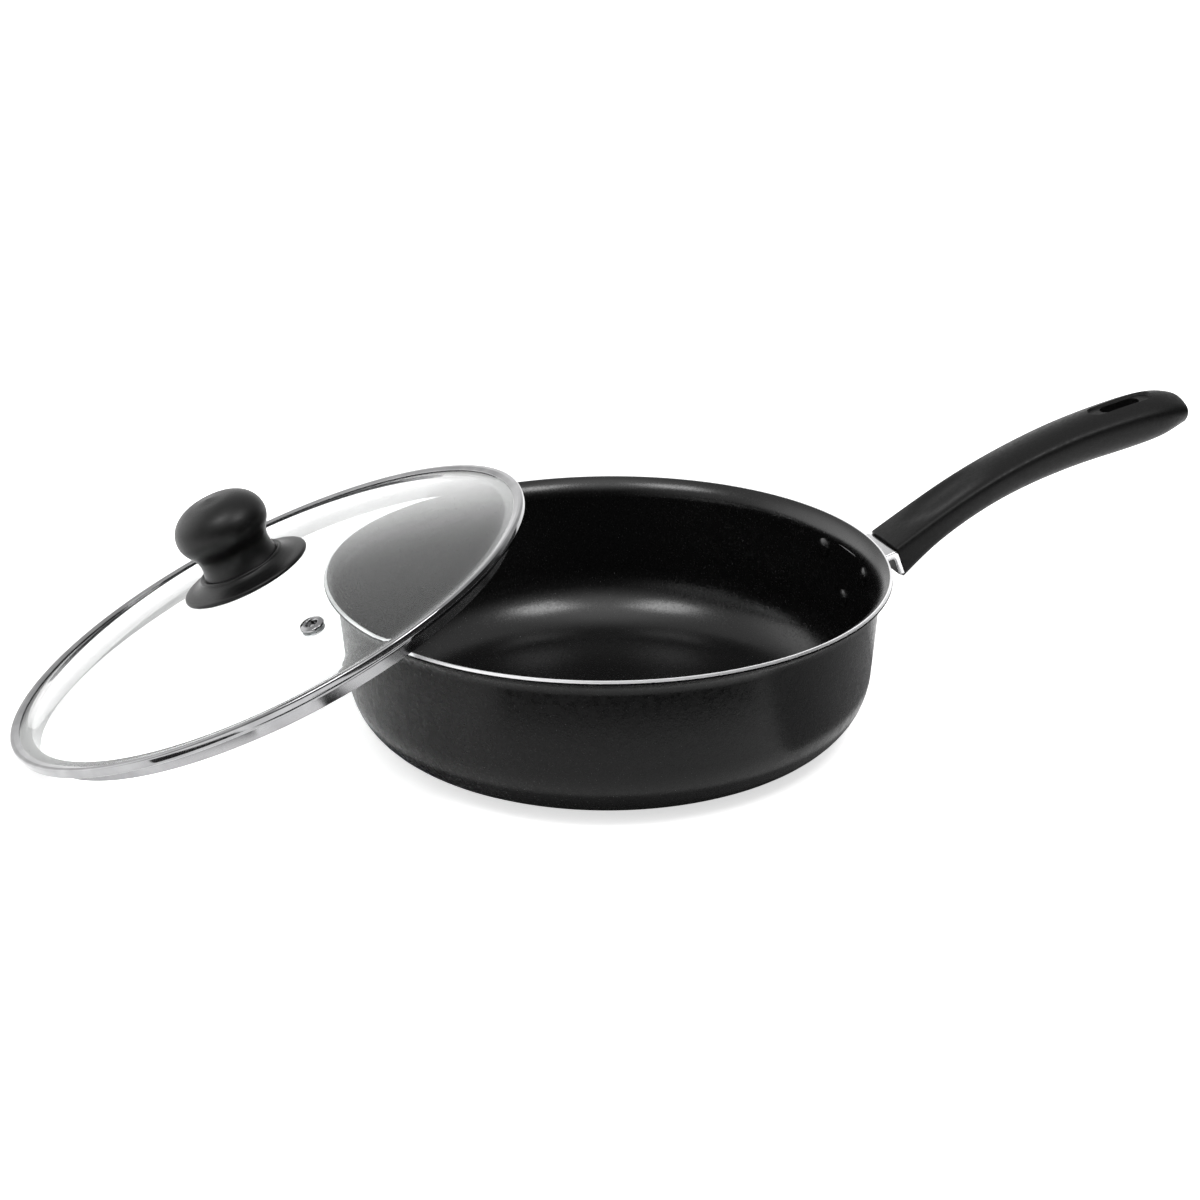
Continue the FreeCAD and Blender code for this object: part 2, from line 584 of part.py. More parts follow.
def lean_placement():
    """The lid's skirt stands on the table and its lower edge leans on the pan's rim."""
    tilt = rad(LEAN_TILT)
    height = SKIRT_RADIUS * math.sin(tilt) + SKIRT_DEPTH * math.cos(tilt) + TABLE_GAP
    centre = FreeCAD.Vector(
        LEAN_DISTANCE * math.cos(rad(LEAN_AZIMUTH)), LEAN_DISTANCE * math.sin(rad(LEAN_AZIMUTH)), height)
    tip = FreeCAD.Rotation(FreeCAD.Vector(0, 1, 0), -LEAN_TILT)
    swing = FreeCAD.Rotation(UP, LEAN_AZIMUTH - 180)
    return FreeCAD.Placement(centre, swing.multiply(tip))


def make_lid():
    glass = make_lid_glass()
    pieces = {"lid_glass": glass, "lid_rim_band": make_rim_band()}
    pieces.update(make_vent())
    pieces.update(make_knob(glass))
    for shape in pieces.values():
        shape.Placement = lean_placement().multiply(shape.Placement)
    return pieces


def make_pan():
    shell = make_pan_shell()
    bracket = make_bracket(shell)
    pieces = {"pan_shell": shell, "handle_bracket": bracket, "handle_grip": make_grip()}
    names = ["rivet_upper_left", "rivet_upper_right", "rivet_lower"]
    for name, place in zip(names, rivet_places()):
        pieces[name] = make_rivet(place, shell, bracket)
    pieces.update(make_handle_fasteners())
    return pieces


def main():
    os.makedirs("parts", exist_ok=True)
    pieces = make_pan()
    pieces.update(make_lid())
    for name, shape in pieces.items():
        solids = len(shape.Solids)
        print(f"{name:20s} solids {solids}  valid {shape.isValid()}  volume {shape.Volume / 1000:8.2f} cm3")
        shape.exportStep(f"parts/{name}.step")
    return pieces


main()
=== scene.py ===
import math

import bmesh
import bpy
from mathutils import Matrix, Vector


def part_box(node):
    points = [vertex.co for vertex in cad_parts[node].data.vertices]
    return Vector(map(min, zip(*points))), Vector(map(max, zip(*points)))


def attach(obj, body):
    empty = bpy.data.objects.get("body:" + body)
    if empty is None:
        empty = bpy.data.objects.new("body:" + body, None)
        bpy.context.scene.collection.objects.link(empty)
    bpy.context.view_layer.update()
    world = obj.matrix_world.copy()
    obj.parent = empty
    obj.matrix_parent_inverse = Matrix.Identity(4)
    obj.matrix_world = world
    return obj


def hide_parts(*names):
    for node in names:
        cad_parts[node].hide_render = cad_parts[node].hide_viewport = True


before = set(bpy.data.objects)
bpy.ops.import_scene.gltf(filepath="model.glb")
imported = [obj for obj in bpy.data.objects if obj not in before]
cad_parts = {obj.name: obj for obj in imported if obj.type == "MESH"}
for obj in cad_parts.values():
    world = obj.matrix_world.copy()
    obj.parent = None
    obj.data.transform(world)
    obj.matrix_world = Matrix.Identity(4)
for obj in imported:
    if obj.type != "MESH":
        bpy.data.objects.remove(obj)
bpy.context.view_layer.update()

MM = 0.001                       # profiles below are in millimetres, objects in metres
UP = Vector((0, 0, 1))

# ---- the pan's sheet, as in the CAD frame ----
RIM_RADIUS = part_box("pan_shell")[1].x / MM
PAN_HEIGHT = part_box("pan_shell")[1].z / MM
THROAT_RADIUS = 124.3
WALL_DRAFT = 4.5
FLARE_ANGLE = 68.0
CORNER_RADIUS = 31.5
SHEET = 2.0
EDGE_BEVEL = 0.7                 # bright bevel on the cut edge
BASE_RING_PITCH = 3.0            # turned rings under the base
BASE_RING_DEPTH = 0.12

# ---- bracket and rivets ----
PLATE_THICKNESS = 2.6
PLATE_OUTLINE = [(-28.5, 66.6), (28.5, 66.6), (28.5, 52.6), (9.0, 34.0), (-9.0, 34.0), (-28.5, 52.6)]
PLATE_CORNER = 4.0
RIVETS = {"rivet_upper_left": (21.5, 61.0), "rivet_upper_right": (-21.5, 61.0), "rivet_lower": (0.0, 42.0)}
RIVET_HEAD_RADIUS = 4.4
RIVET_HEAD_HEIGHT = 1.8
BRIDGE_HALF_WIDTH = 14.0
BRIDGE_WALL_Z = 63.4
GUARD_DROP = 13.6

# ---- grip stations: ridge (x, z), keel (x, z), half width, side squareness, crown ----
GRIP_STATIONS = [
    ((141.4, 69.3), (147.2, 53.0), 14.0, 4.6, 0.5),
    ((158.0, 78.8), (165.0, 66.9), 13.8, 3.6, 1.2),
    ((180.0, 90.6), (187.5, 78.9), 13.6, 2.9, 2.2),
    ((205.0, 101.6), (211.5, 88.0), 13.4, 2.6, 3.0),
    ((235.0, 111.5), (240.0, 95.6), 13.9, 2.6, 3.9),
    ((265.0, 117.8), (268.5, 100.8), 14.7, 2.6, 5.2),
    ((285.0, 120.2), (286.5, 104.8), 14.7, 2.5, 6.0),
    ((297.0, 119.6), (297.6, 109.2), 11.9, 2.3, 5.0),
    ((301.2, 118.0), (301.5, 110.2), 8.9, 2.2, 3.6),
    ((303.0, 116.2), (303.1, 111.6), 5.2, 2.1, 2.2),
]
GRIP_ALLOWANCE = 0.35            # what subdividing takes off all round
SLOT_X = 267.0
SLOT_SLOPE = 10.5
SLOT = (10.5, 4.0)               # half length, half width
RECESS = (17.5, 6.0)
RECESS_DEPTH = 1.7
THUMB_REST = (174.0, 22.0, 10.5, 1.9)  # middle x, half length, half width, depth

# ---- lid, in its own frame ----
LEAN_AZIMUTH = 161.3
LEAN_TILT = 23.34
LID_RADIUS = 130.1
BAND_SHEET = 0.6
BAND_TOP = 2.6
BAND_LIP_RADIUS = 125.4
SKIRT_RADIUS = 119.8
SKIRT_DEPTH = 9.6
GLASS_THICKNESS = 3.2
GLASS_RADIUS = 128.6
GLASS_RIM_TOP = BAND_TOP - BAND_SHEET
GLASS_RIM_LOW = GLASS_RIM_TOP - GLASS_THICKNESS
FLANGE_LOW = GLASS_RIM_LOW - BAND_SHEET
DOME_FOOT_RADIUS = 121.5
DOME_TOP = 21.5
GLASS_HOLE_RADIUS = 4.0
VENT_FROM_AXIS = 83.7
VENT_ANGLE = -65.7
VENT_HOLE_RADIUS = 3.6
BRIM_RADIUS = 30.5
KNOB_TOP = 61.2

# ---- camera ----
CAMERA_AZIMUTH = 21.0            # degrees that the view is turned from the handle's square side
CAMERA_ELEVATION = 24.63
CAMERA_DISTANCE = 1.1788
CAMERA_LENS = 75.0
CAMERA_YAW = 0.206
CAMERA_PITCH = 2.682
CAMERA_ROLL = -0.326

# ---- stage: azimuths are degrees round the pan, 0 towards the camera and 90 to the picture's right ----
FLOOR_HALF_SIDE = 30000
FLOOR_GLOW = 0.65
ROOM_LIGHT = 0.75
# dark cards seen only in reflections: painted dark reflections; the ring round the foot is a painted contact
# shadow
FLAGS = {                        # azimuth from, to, radius from, to, tone
    "flag_front": (-34, 46, 195, 250, 0.01),
    "flag_middle": (-6, 42, 250, 330, 0.01),
    "flag_streak": (-54, -34, 260, 300, 0.01),
    "flag_right": (26, 142, 600, 20000, 0.01),
    "flag_side": (50, 114, 136, 250, 0.42),
    # painted contact shadow round the foot, seen only in the pan's lower wall
    "foot_shadow_flag": (0, 360, 90, 121, 0.32),
}
FLAG_STEP = 4                    # degrees
SOFTBOXES = {                    # azimuth, distance, height, side, in metres, and radiance
    "right_softbox": (50, 0.62, 1.08, 0.40, 9.5),
    "left_softbox": (316, 0.57, 1.09, 0.38, 9.5),
}
SOFTBOX_AIM = Vector((0, 0, 0.04))


def rad(degrees):
    return math.radians(degrees)


# ------------------------------------------------------------------ profiles

def arc(centre, radius, start, end, steps):
    """Points on an arc, angles in degrees from +X."""
    points = []
    for i in range(steps + 1):
        angle = rad(start + (end - start) * i / steps)
        points.append((centre[0] + radius * math.cos(angle), centre[1] + radius * math.sin(angle)))
    return points


def rounded(corners, steps=5):
    """Closed outline with its corners rounded. A corner is (x, z, radius)."""
    points = []
    count = len(corners)
    for i, (x, z, radius) in enumerate(corners):
        if radius == 0:
            points.append((x, z))
            continue
        here = Vector((x, z))
        before = Vector(corners[i - 1][:2]) - here
        after = Vector(corners[(i + 1) % count][:2]) - here
        half_turn = before.angle(after) / 2
        reach = min(radius / math.tan(half_turn), before.length * 0.49, after.length * 0.49)
        start = here + before.normalized() * reach
        end = here + after.normalized() * reach
        for k in range(steps + 1):
            t = k / steps
            spot = start * (1 - t) ** 2 + here * (2 * t * (1 - t)) + end * t ** 2
            points.append((spot.x, spot.y))
    return points


def smooth(points, steps=8):
    """Catmull-Rom curve through points."""
    curve = []
    last = len(points) - 1
    for i in range(last):
        p0 = Vector(points[max(i - 1, 0)])
        p1 = Vector(points[i])
        p2 = Vector(points[i + 1])
        p3 = Vector(points[min(i + 2, last)])
        for k in range(steps):
            t = k / steps
            spot = 0.5 * ((2 * p1) + (p2 - p0) * t + (2 * p0 - 5 * p1 + 4 * p2 - p3) * t ** 2
                          + (3 * p1 - p0 - 3 * p2 + p3) * t ** 3)
            curve.append(tuple(spot))
    curve.append(tuple(points[last]))
    return curve


def cap(radius, low, top, steps):
    """Arc from (radius, low) up to (0, top), centred on the axis."""
    rise = top - low
    sphere = (radius ** 2 + rise ** 2) / (2 * rise)
    start = math.degrees(math.atan2(low - top + sphere, radius))
    return arc((0, top - sphere), sphere, start, 90, steps)


# ------------------------------------------------------------------ meshes

def finish_mesh(name, mesh, materials, place=None, sharp=35):
    """Object from a bmesh, in metres at its place, smooth but for its sharp edges."""
    bmesh.ops.recalc_face_normals(mesh, faces=mesh.faces)
    data = bpy.data.meshes.new(name)
    for face in mesh.faces:
        face.smooth = True
    mesh.to_mesh(data)
    mesh.free()
    data.transform(Matrix.Scale(MM, 4))
    if place is not None:
        data.transform(place)
    for material in materials:
        data.materials.append(material)
    obj = bpy.data.objects.new(name, data)
    bpy.context.scene.collection.objects.link(obj)
    data.set_sharp_from_angle(angle=rad(sharp))
    return obj


def lathe(name, profile, materials, place=None, segments=160, zones=None, sharp=35):
    """Turned mesh. The profile is a closed loop, or runs from the axis to the axis."""
    mesh = bmesh.new()
    on_axis = profile[0][0] < 1e-6
    rings = []
    for radius, height in profile:
        if radius < 1e-6:
            rings.append([mesh.verts.new((0, 0, height))])
            continue
        ring = []
        for k in range(segments):
            angle = 2 * math.pi * k / segments
            ring.append(mesh.verts.new((radius * math.cos(angle), radius * math.sin(angle), height)))
        rings.append(ring)
    pairs = len(rings) - 1 if on_axis else len(rings)
    for i in range(pairs):
        low, high = rings[i], rings[(i + 1) % len(rings)]
        zone = zones[i] if zones else 0
        for k in range(segments):
            m = (k + 1) % segments
            if len(low) == 1:
                face = mesh.faces.new((low[0], high[k], high[m]))
            elif len(high) == 1:
                face = mesh.faces.new((low[m], low[k], high[0]))
            else:
                face = mesh.faces.new((low[k], high[k], high[m], low[m]))
            face.material_index = zone
    return finish_mesh(name, mesh, materials, place, sharp)


def bridge_rings(mesh, rings, first_cap=True):
    """Quads between rings of the same count, with a face over each end."""
    for low, high in zip(rings, rings[1:]):
        count = len(low)
        for k in range(count):
            m = (k + 1) % count
            mesh.faces.new((low[k], low[m], high[m], high[k]))
    if first_cap:
        mesh.faces.new(reversed(rings[0]))
    mesh.faces.new(rings[-1])


def apply_modifiers(obj):
    depsgraph = bpy.context.evaluated_depsgraph_get()
    data = bpy.data.meshes.new_from_object(obj.evaluated_get(depsgraph))
    obj.modifiers.clear()
    obj.data = data
    return obj


def cut_away(obj, cutter):
    modifier = obj.modifiers.new("cut", "BOOLEAN")
    modifier.operation = "DIFFERENCE"
    modifier.solver = "EXACT"
    modifier.object = cutter
    apply_modifiers(obj)
    bpy.data.objects.remove(cutter)


def place_piece(obj, body, slot, *nodes):
    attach(obj, body)
    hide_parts(*nodes)
    return obj


# ------------------------------------------------------------------ materials

class Surface:
    """A Principled material and short ways to add procedural detail to it."""

    def __init__(self, name, colour, roughness, metallic=0.0):
        self.material = bpy.data.materials.new(name)
        self.material.use_nodes = True
        self.nodes = self.material.node_tree.nodes
        self.links = self.material.node_tree.links
        self.shader = self.nodes["Principled BSDF"]
        self.shader.inputs["Base Color"].default_value = (*colour, 1)
        self.shader.inputs["Roughness"].default_value = roughness
        self.shader.inputs["Metallic"].default_value = metallic
        self.where = self.nodes.new("ShaderNodeTexCoord").outputs["Object"]
        self.bumps = None

    def stretched(self, scale):
        mapping = self.nodes.new("ShaderNodeMapping")
        mapping.inputs["Scale"].default_value = scale
        self.links.new(self.where, mapping.inputs["Vector"])
        return mapping.outputs["Vector"]

    def noise(self, scale, detail=3.0, vector=None):
        node = self.nodes.new("ShaderNodeTexNoise")
        node.inputs["Scale"].default_value = scale
        node.inputs["Detail"].default_value = detail
        self.links.new(vector or self.where, node.inputs["Vector"])
        return node.outputs["Fac"]

    def along(self, direction):
        """Distance from the origin along a direction."""
        node = self.nodes.new("ShaderNodeVectorMath")
        node.operation = "DOT_PRODUCT"
        node.inputs[1].default_value = direction
        self.links.new(self.where, node.inputs[0])
        return node.outputs["Value"]

    def radius(self):
        """Distance from the Z axis."""
        squares = []
        for axis in (Vector((1, 0, 0)), Vector((0, 1, 0))):
            distance = self.along(axis)
            squares.append(self.math("MULTIPLY", distance, distance))
        return self.math("SQRT", self.math("ADD", *squares))

    def rings(self, pitch):
        """Waves by distance from the Z axis."""
        return self.math("SINE", self.math("MULTIPLY", self.radius(), 2 * math.pi / pitch))

    def math(self, operation, a, b=None):
        node = self.nodes.new("ShaderNodeMath")
        node.operation = operation
        for socket, value in zip(node.inputs, (a, b)):
            if value is None:
                continue
            if isinstance(value, (int, float)):
                socket.default_value = value
            else:
                self.links.new(value, socket)
        return node.outputs["Value"]

    def ramp(self, value, low, high, start=0.3, end=0.7):
        node = self.nodes.new("ShaderNodeMapRange")
        node.inputs["From Min"].default_value = start
        node.inputs["From Max"].default_value = end
        node.inputs["To Min"].default_value = low
        node.inputs["To Max"].default_value = high
        self.links.new(value, node.inputs["Value"])
        return node.outputs["Result"]

    def tint(self, value, dark, light, start=0.3, end=0.7):
        node = self.nodes.new("ShaderNodeValToRGB")
        node.color_ramp.elements[0].position = start
        node.color_ramp.elements[0].color = (*dark, 1)
        node.color_ramp.elements[1].position = end
        node.color_ramp.elements[1].color = (*light, 1)
        self.links.new(value, node.inputs["Fac"])
        self.links.new(node.outputs["Color"], self.shader.inputs["Base Color"])

    def roughen(self, value, low, high, start=0.3, end=0.7):
        self.links.new(self.ramp(value, low, high, start, end), self.shader.inputs["Roughness"])

    def bump(self, value, depth):
        """Height detail, with its depth in metres."""
        node = self.nodes.new("ShaderNodeBump")
        node.inputs["Distance"].default_value = depth
        self.links.new(value, node.inputs["Height"])
        if self.bumps is not None:
            self.links.new(self.bumps, node.inputs["Normal"])
        self.bumps = node.outputs["Normal"]
        self.links.new(self.bumps, self.shader.inputs["Normal"])

    def set(self, **values):
        for key, value in values.items():
            self.shader.inputs[key.replace("_", " ")].default_value = value
        return self


def grey(value):
    return (value, value, value * 1.01)


def nonstick_inside():
    """Baked non-stick coating: near black, satin, with a fine mineral speckle."""
    surface = Surface("nonstick_inside", grey(0.002), 0.26)
    surface.set(Specular_IOR_Level=0.44)
    fine = surface.noise(1400, 2.0)
    surface.tint(fine, grey(0.0005), grey(0.004), 0.35, 0.75)
    surface.roughen(surface.noise(900, 2.0), 0.19, 0.29)
    surface.bump(fine, 0.000018)
    surface.bump(surface.noise(60, 2.0), 0.00012)
    return surface.material


def paint_outside():
    """Matt heat-proof paint with a fine orange-peel grain."""
    surface = Surface("paint_outside", grey(0.002), 0.28)
    surface.set(Specular_IOR_Level=0.14)
    fine = surface.noise(1100, 3.0)
    surface.tint(fine, grey(0.0005), grey(0.003), 0.35, 0.72)
    surface.roughen(surface.noise(350, 2.0), 0.22, 0.34)
    surface.bump(fine, 0.00005)
    surface.bump(surface.noise(220, 2.0), 0.00008)
    return surface.material


def cut_edge_metal():
    """Bare aluminium edge of the sheet, trimmed on a lathe."""
    surface = Surface("cut_edge_aluminium", (0.94, 0.94, 0.95), 0.4, metallic=1.0)
    lines = surface.noise(1, 3.0, surface.stretched((40, 40, 4000)))
    surface.roughen(lines, 0.36, 0.48)
    surface.bump(lines, 0.00002)
    return surface.material


def base_metal():
    """Underside of the base: bare aluminium with turned rings."""
    surface = Surface("base_aluminium", (0.62, 0.62, 0.64), 0.34, metallic=1.0)
    surface.bump(surface.rings(0.0009), 0.00003)
    marks = surface.noise(120, 4.0)
    surface.tint(marks, (0.52, 0.52, 0.53), (0.70, 0.70, 0.72))
    surface.roughen(marks, 0.28, 0.44)
    return surface.material


def polished_band():
    """Polished stainless strip, with faint rolling marks round the lid."""
    surface = Surface("band_steel", (0.28, 0.28, 0.285), 0.10, metallic=1.0)
    marks = surface.noise(90, 3.0)
    surface.tint(marks, (0.24, 0.24, 0.245), (0.32, 0.32, 0.325))
    surface.roughen(marks, 0.07, 0.16)
    surface.bump(surface.noise(25, 2.0), 0.00010)
    return surface.material


def band_inside_shade():
    """Inside of the rolled strip: a darker, rougher copy of the band steel, its darkness painted shade under
    the lid.
    """
    surface = Surface("band_steel_painted_shade", grey(0.13), 0.2, metallic=1.0)
    marks = surface.noise(120, 3.0)
    surface.tint(marks, grey(0.10), grey(0.16))
    surface.roughen(marks, 0.16, 0.28)
    surface.bump(surface.noise(30, 2.0), 0.00008)
    return surface.material


def bracket_metal():
    """Pressed aluminium, polished, with soft grinding lines."""
    surface = Surface("bracket_aluminium", (0.70, 0.70, 0.71), 0.22, metallic=1.0)
    lines = surface.noise(1, 3.0, surface.stretched((1600, 60, 1600)))
    surface.roughen(lines, 0.16, 0.32)
    surface.bump(lines, 0.00002)
    surface.tint(surface.noise(70, 3.0), (0.64, 0.64, 0.65), (0.76, 0.76, 0.77))
    return surface.material


def bracket_shade_material():
    """Near-black metal on the bracket's inner faces and underside: painted shade in the hollow between the
    wall and the guard.
    """
    surface = Surface("bracket_painted_shade", grey(0.02), 0.6, metallic=1.0)
    marks = surface.noise(300, 3.0)
    surface.tint(marks, grey(0.012), grey(0.03))
    surface.roughen(marks, 0.5, 0.7)
    return surface.material


def rivet_metal():
    surface = Surface("rivet_aluminium", (0.78, 0.78, 0.79), 0.3, metallic=1.0)
    marks = surface.noise(700, 3.0)
    surface.roughen(marks, 0.24, 0.40)
    surface.bump(marks, 0.00003)
    return surface.material


def fastener_metal():
    """Zinc-plated steel."""
    surface = Surface("zinc_steel", (0.60, 0.61, 0.63), 0.32, metallic=1.0)
    marks = surface.noise(500, 3.0)
    surface.tint(marks, (0.52, 0.53, 0.55), (0.68, 0.69, 0.70))
    surface.roughen(marks, 0.26, 0.42)
    surface.bump(marks, 0.00002)
    return surface.material


def brass():
    surface = Surface("brass", (0.78, 0.58, 0.26), 0.28, metallic=1.0)
    marks = surface.noise(600, 3.0)
    surface.roughen(marks, 0.22, 0.38)
    surface.bump(marks, 0.00002)
    return surface.material


def silicone():
    surface = Surface("silicone", (0.72, 0.72, 0.70), 0.45)
    marks = surface.noise(400, 2.0)
    surface.roughen(marks, 0.38, 0.52)
    surface.bump(marks, 0.00002)
    return surface.material


def clear_glass():
    """Tempered glass, slightly wavy from forming."""
    surface = Surface("clear_glass", (0.97, 0.985, 0.98), 0.0)
    surface.set(Transmission_Weight=1.0, IOR=1.5)
    surface.bump(surface.noise(14, 1.0), 0.00015)
    return surface.material


def grip_plastic():
    """Black phenolic moulding with a fine spark-eroded grain."""
    surface = Surface("grip_phenolic", grey(0.003), 0.42)
    surface.set(Specular_IOR_Level=0.17)
    grain = surface.noise(1500, 2.0)
    surface.tint(grain, grey(0.001), grey(0.005), 0.35, 0.7)
    surface.roughen(surface.noise(500, 2.0), 0.36, 0.50)
    surface.bump(grain, 0.00006)
    surface.bump(surface.noise(160, 2.0), 0.00006)
    return surface.material


def knob_plastic():
    """Black phenolic, smoother than the grip."""
    surface = Surface("knob_phenolic", grey(0.002), 0.34)
    surface.set(Specular_IOR_Level=0.26)
    grain = surface.noise(1800, 2.0)
    surface.tint(surface.noise(300, 3.0), grey(0.001), grey(0.0025))
    surface.roughen(grain, 0.34, 0.46)
    surface.bump(grain, 0.00003)
    return surface.material


# ------------------------------------------------------------------ pan

def shell_section():
    lean = rad(WALL_DRAFT)
    flare_radius = (RIM_RADIUS - THROAT_RADIUS) / (math.cos(lean) - math.cos(rad(FLARE_ANGLE)))
    flare_z = PAN_HEIGHT - (flare_radius + SHEET) * math.sin(rad(FLARE_ANGLE))
    flare_centre = (THROAT_RADIUS + flare_radius * math.cos(lean), flare_z)
    throat_z = flare_z + flare_radius * math.sin(lean)
    reach = (CORNER_RADIUS + (throat_z - CORNER_RADIUS) * math.sin(lean)) / math.cos(lean)
    return flare_centre, flare_radius, (THROAT_RADIUS - reach, CORNER_RADIUS)


def wall_radius(z):
    """Outside radius of the wall's straight part."""
    _, _, corner = shell_section()
    lean = rad(WALL_DRAFT)
    foot = (corner[0] + CORNER_RADIUS * math.cos(lean), corner[1] - CORNER_RADIUS * math.sin(lean))
    return foot[0] + (z - foot[1]) * math.tan(lean)


def make_pan_shell(inside, outside, edge, base):
    """Turned sheet: from the middle of the base, up the outside, over the rim and back down the inside."""
    flare_centre, flare_radius, corner = shell_section()
    rings = []
    count = int(corner[0] // BASE_RING_PITCH) * 2
    for i in range(1, count):
        rings.append((i * BASE_RING_PITCH / 2, BASE_RING_DEPTH * (i % 2)))
    under = [(0, 0)] + rings
    turn = arc(corner, CORNER_RADIUS, -90, -WALL_DRAFT, 16)
    flare = arc(flare_centre, flare_radius, 180 - WALL_DRAFT, 180 - FLARE_ANGLE, 12)
    inner_flare = arc(flare_centre, flare_radius + SHEET, 180 - FLARE_ANGLE, 180 - WALL_DRAFT, 12)
    inner_turn = arc(corner, CORNER_RADIUS - SHEET, -WALL_DRAFT, -90, 16)
    floor = [(corner[0] * k / 6, SHEET) for k in (5, 4, 3, 2, 1)]
    lip_out, lip_in = flare[-1], inner_flare[0]

    def along_lip(share):
        return (lip_out[0] + (lip_in[0] - lip_out[0]) * share, lip_out[1] + (lip_in[1] - lip_out[1]) * share)

    bevel = (lip_in[0] - EDGE_BEVEL, lip_in[1] - EDGE_BEVEL * 0.36)
    lip = [along_lip(0.0), along_lip(0.35), along_lip(0.9), bevel]
    profile = under + turn + flare[:-1] + lip + inner_flare[1:] + inner_turn + floor + [(0, SHEET)]
    painted = len(turn) + len(flare)
    bare = 2
    coated = len(profile) - len(under) - painted - bare
    zones = [3] * len(under) + [1] * painted + [2] * bare + [0] * coated
    shell = lathe("pan_body", profile, [inside, outside, edge, base], segments=256, zones=zones, sharp=50)
    return place_piece(shell, "pan", "pan_shell", "pan_shell")


def rivet_place(y, z):
    """Frame of a rivet: origin on the outside of the wall, Z outwards."""
    radius = wall_radius(z)
    turn = math.asin(y / radius)
    lean = rad(WALL_DRAFT)
    outward = Vector((math.cos(turn) * math.cos(lean), math.sin(turn) * math.cos(lean), -math.sin(lean)))
    origin = Vector((radius * math.cos(turn), y, z)) * MM
    return Matrix.Translation(origin) @ outward.to_track_quat("Z", "Y").to_matrix().to_4x4()


def make_rivets(coated, bare):
    """Each has a head inside the pan, coated with it, and one on the bracket."""
    edge = RIVET_HEAD_HEIGHT * 0.3
    head = [(RIVET_HEAD_RADIUS, 0.0)] + cap(RIVET_HEAD_RADIUS, edge, RIVET_HEAD_HEIGHT, 8)
    inner = [(r, -SHEET - h) for r, h in reversed(head)]
    outer = [(r, PLATE_THICKNESS + h) for r, h in head]
    zones = [0] * len(inner) + [1] * len(outer)
    for name, (y, z) in RIVETS.items():
        rivet = lathe(name + "_headed", inner + outer, [coated, bare], rivet_place(y, z), 40, zones)
        place_piece(rivet, "pan", "rivet", name)


def on_wall(y, z, offset):
    """Point a given distance off the wall's outside."""
    radius = wall_radius(z) + offset
    return (math.sqrt(radius ** 2 - y ** 2), y, z)


def inset(points, centre, distance):
    """Outline moved towards its centre by about a distance."""
    moved = []
    for point in points:
        towards = centre - Vector(point)
        moved.append(tuple(Vector(point) + towards.normalized() * distance))
    return moved


def bracket_profile():
    """Side view of the bridge and the plate in front of the grip."""
    ridge, keel = Vector(GRIP_STATIONS[0][0]), Vector(GRIP_STATIONS[0][1])
    up = (ridge - keel).normalized()
    out = Vector((up.y, -up.x))
    t = PLATE_THICKNESS
    top = ridge - up * 0.6
    foot = ridge - up * GUARD_DROP
    wall_top = Vector((wall_radius(BRIDGE_WALL_Z) - 0.4, BRIDGE_WALL_Z))
    slope = (top - wall_top).angle(Vector((1, 0)))
    wall_low = wall_top - Vector((0, t / math.cos(slope)))
    inner_top = top - out * t - up * (t + 1.0)
    inner_foot = foot - out * t
    corners = [
        (*wall_top, 0), (*top, 2.6), (*foot, 0.5),
        (*inner_foot, 0.5), (*inner_top, 1.6), (*wall_low, 0)]
    return rounded(corners, 6)


def make_bracket(metal, painted_shade):
    """Bridge with its front plate, and the riveted plate on the wall, its edges rounded over."""
    mesh = bmesh.new()
    rings = []
    profile = bracket_profile()
    for y in (-BRIDGE_HALF_WIDTH, BRIDGE_HALF_WIDTH):
        rings.append([mesh.verts.new((x, y, z)) for x, z in profile])
    bridge_rings(mesh, rings)
    bmesh.ops.recalc_face_normals(mesh, faces=mesh.faces)
    for face in mesh.faces:
        # faces towards the pan and underneath take the near-black metal: painted shade
        if face.normal.x < -0.6 or face.normal.z < -0.6:
            face.material_index = 1
    rims = [edge for edge in mesh.edges if abs(edge.verts[0].co.y - edge.verts[1].co.y) < 1e-6]
    bmesh.ops.bevel(mesh, geom=rims, offset=0.7, segments=3, profile=0.6, affect="EDGES")
    outline = rounded([(y, z, PLATE_CORNER) for y, z in PLATE_OUTLINE], 5)
    centre = Vector((0, 52))
    t = PLATE_THICKNESS
    layers = [(0.0, 0.05), (0.0, t - 0.6), (0.25, t - 0.15), (0.7, t)]
    plate_rings = []
    for distance, offset in layers:
        shrunk = inset(outline, centre, distance)
        plate_rings.append([mesh.verts.new(on_wall(y, z, offset)) for y, z in shrunk])
    for share in (0.8, 0.6, 0.4, 0.2):
        shrunk = [centre + (Vector(p) - centre) * share for p in outline]
        plate_rings.append([mesh.verts.new(on_wall(p.x, p.y, t)) for p in shrunk])
    bridge_rings(mesh, plate_rings, first_cap=False)
    bracket = finish_mesh("bracket_pressed", mesh, [metal, painted_shade], sharp=40)
    return place_piece(bracket, "pan", "bracket_metal", "handle_bracket")


# ------------------------------------------------------------------ grip

